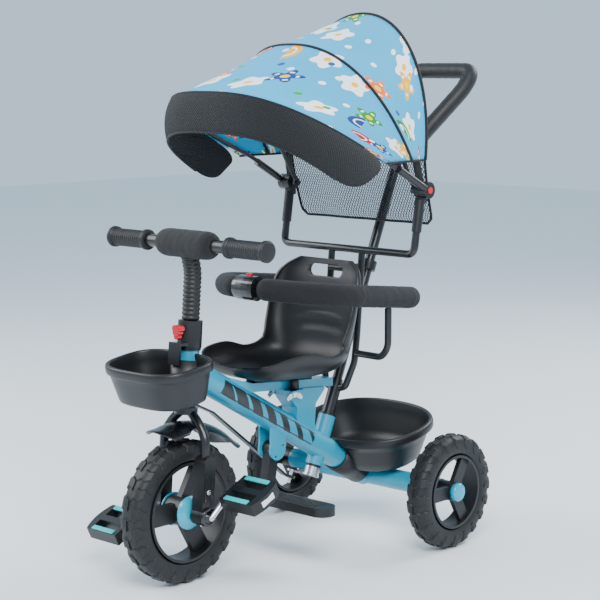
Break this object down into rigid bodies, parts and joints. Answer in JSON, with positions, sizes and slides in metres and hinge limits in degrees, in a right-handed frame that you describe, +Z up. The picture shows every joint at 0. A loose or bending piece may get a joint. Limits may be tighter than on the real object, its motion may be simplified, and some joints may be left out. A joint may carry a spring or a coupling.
{
  "type": "children's tricycle",
  "caption": "Child tricycle: steering push handle, folding canopy, opening guard ring, bucket seat, two baskets, swinging footrest, front-wheel pedals and linkage.",
  "frame": {"origin": "on the ground, midway along the length, on the plane of symmetry", "axes": "+Z up, the tricycle faces -Y, the rider's left hand is at +X"},
  "size_m": [0.458, 0.8525, 0.974],
  "materials": {
    "cyan_paint": "glossy powder coat, bright cyan",
    "black_paint": "semi-gloss black powder coat",
    "black_plastic": "moulded black polypropylene, fine satin",
    "gloss_black": "polished black plastic",
    "grey_plastic": "dark grey plastic-coated wire",
    "cyan_plastic": "glossy cyan plastic",
    "red_plastic": "glossy red plastic",
    "soft_vinyl": "soft black moulded vinyl",
    "foam_cover": "closed-cell foam, matt black",
    "tyre_black": "matt black foam rubber",
    "zinc_steel": "bright zinc-plated steel",
    "canopy_print": "printed polyester cloth, pale blue with small motifs",
    "visor_fabric": "black spacer mesh over thin foam, with taped edges",
    "mesh_fabric": "open black polyester mesh"
  },
  "bodies": {
    "root": {"head_tube": "cyan_paint", "main_tube": "cyan_paint", "rear_axle_tube": "cyan_paint", "handle_socket": "cyan_paint", "seat_column": "cyan_paint", "seat_beam": "cyan_paint", "footrest_lugs": "cyan_paint", "head_bushes": "black_plastic", "socket_rings": "black_plastic", "rear_axle": "zinc_steel", "support_post": "black_paint", "bracket_legs": "black_paint", "guard_posts": "black_paint", "handle_guide": "black_plastic", "canopy_bracket": "black_paint", "seat_shell": "black_plastic", "seat_wing_nuts": "zinc_steel", "rear_basket": "black_plastic", "canopy_hinges": "black_plastic", "canopy_rear_hoop": "grey_plastic", "canopy_cloth": "canopy_print", "rear_curtain": "mesh_fabric"},
    "steering": {"steerer": "black_paint", "fork_legs": "black_paint", "fork_cover_left": "black_plastic", "fork_cover_right": "black_plastic", "fender": "black_plastic", "clamp_collar": "black_plastic", "front_basket": "black_plastic", "basket_bracket": "black_paint"},
    "handlebar": {"handlebar": "black_paint", "stem_bellows": "soft_vinyl", "handlebar_pad": "soft_vinyl", "grip_left": "soft_vinyl", "grip_right": "soft_vinyl"},
    "clamp_knob": {"clamp_knob": "red_plastic"},
    "front_wheel": {"front_tyre": "tyre_black", "front_rim": "black_plastic", "front_hub_domes": "cyan_plastic", "crank": "zinc_steel"},
    "pedal_left": {"pedal_left": "black_plastic"},
    "pedal_right": {"pedal_right": "black_plastic"},
    "rear_wheel_left": {"rear_tyre_left": "tyre_black", "rear_rim_left": "black_plastic"},
    "rear_wheel_right": {"rear_tyre_right": "tyre_black", "rear_rim_right": "black_plastic"},
    "footrest": {"footrest": "black_plastic"},
    "push_handle": {"push_handle": "black_paint", "push_grip": "foam_cover", "steering_arm": "zinc_steel"},
    "steering_link": {"steering_link": "zinc_steel"},
    "guard_left": {"guard_pad_left": "foam_cover", "guard_clasp": "gloss_black"},
    "guard_right": {"guard_pad_right": "foam_cover"},
    "clasp_button": {"clasp_button": "red_plastic"},
    "canopy_front": {"canopy_front_arms": "black_paint", "canopy_visor": "visor_fabric"},
    "canopy_mid": {"canopy_mid_hoop": "grey_plastic"},
    "canopy_button_left": {"canopy_button_left": "red_plastic"},
    "canopy_button_right": {"canopy_button_right": "red_plastic"}
  },
  "joints": [
    {"name": "steer", "type": "hinge", "parent": "root", "child": "steering", "pos_m": [0, -0.30125, 0.125], "axis": [0, 0.0785, 0.9969], "range_deg": [-30, 30]},
    {"name": "bar_height", "type": "slide", "parent": "steering", "child": "handlebar", "axis": [0, 0.0785, 0.9969], "range_m": [0, 0.03]},
    {"name": "knob_turn", "type": "hinge", "parent": "steering", "child": "clamp_knob", "pos_m": [0, -0.27701, 0.43305], "axis": [0, -0.9969, 0.0785], "range_deg": [0, 270]},
    {"name": "front_wheel_spin", "type": "hinge", "parent": "steering", "child": "front_wheel", "pos_m": [0, -0.30125, 0.125], "axis": [1, 0, 0], "continuous": true},
    {"name": "pedal_left_spin", "type": "hinge", "parent": "front_wheel", "child": "pedal_left", "pos_m": [0.11, -0.26094, 0.16531], "axis": [1, 0, 0], "continuous": true},
    {"name": "pedal_right_spin", "type": "hinge", "parent": "front_wheel", "child": "pedal_right", "pos_m": [-0.11, -0.34155, 0.0847], "axis": [1, 0, 0], "continuous": true},
    {"name": "rear_left_spin", "type": "hinge", "parent": "root", "child": "rear_wheel_left", "pos_m": [0.203, 0.18075, 0.106], "axis": [1, 0, 0], "continuous": true},
    {"name": "rear_right_spin", "type": "hinge", "parent": "root", "child": "rear_wheel_right", "pos_m": [-0.203, 0.18075, 0.106], "axis": [1, 0, 0], "continuous": true},
    {"name": "footrest_swing", "type": "hinge", "parent": "root", "child": "footrest", "pos_m": [0, -0.07725, 0.197], "axis": [1, 0, 0], "range_deg": [-20, 25]},
    {"name": "push_turn", "type": "hinge", "parent": "root", "child": "push_handle", "pos_m": [0, 0.04875, 0.18057], "axis": [0, 0.3907, 0.9205], "range_deg": [-30, 30]},
    {"name": "link_turn", "type": "hinge", "parent": "steering", "child": "steering_link", "pos_m": [-0.038, -0.29854, 0.31237], "axis": [0, 0.0785, 0.9969], "range_deg": [-30, 30]},
    {"name": "guard_left_open", "type": "hinge", "parent": "root", "child": "guard_left", "pos_m": [0.128, 0.09375, 0.46], "axis": [0, 0, 1], "range_deg": [0, 90]},
    {"name": "guard_right_open", "type": "hinge", "parent": "root", "child": "guard_right", "pos_m": [-0.128, 0.09375, 0.46], "axis": [0, 0, -1], "range_deg": [0, 90]},
    {"name": "clasp_press", "type": "slide", "parent": "guard_left", "child": "clasp_button", "axis": [0, -0.1142, -0.9935], "range_m": [0, 0.003], "stiffness_N_per_m": 300, "springref_m": -0.002},
    {"name": "canopy_fold", "type": "hinge", "parent": "root", "child": "canopy_front", "pos_m": [0, 0.14375, 0.659], "axis": [1, 0, 0], "range_deg": [-60, 0], "deforming": ["canopy_cloth"]},
    {"name": "canopy_mid_fold", "type": "hinge", "parent": "root", "child": "canopy_mid", "pos_m": [0, 0.14375, 0.659], "axis": [1, 0, 0], "range_deg": [-24.1, 0.1]},
    {"name": "canopy_left_press", "type": "slide", "parent": "canopy_front", "child": "canopy_button_left", "axis": [-1, 0, 0], "range_m": [0, 0.003], "stiffness_N_per_m": 300, "springref_m": -0.002},
    {"name": "canopy_right_press", "type": "slide", "parent": "canopy_front", "child": "canopy_button_right", "axis": [1, 0, 0], "range_m": [0, 0.003], "stiffness_N_per_m": 300, "springref_m": -0.002}
  ],
  "couplings": [
    {"joint": "push_turn", "follows": "steer", "ratio": 1},
    {"joint": "link_turn", "follows": "steer", "ratio": -1},
    {"joint": "canopy_mid_fold", "follows": "canopy_fold", "ratio": 0.4}
  ]
}
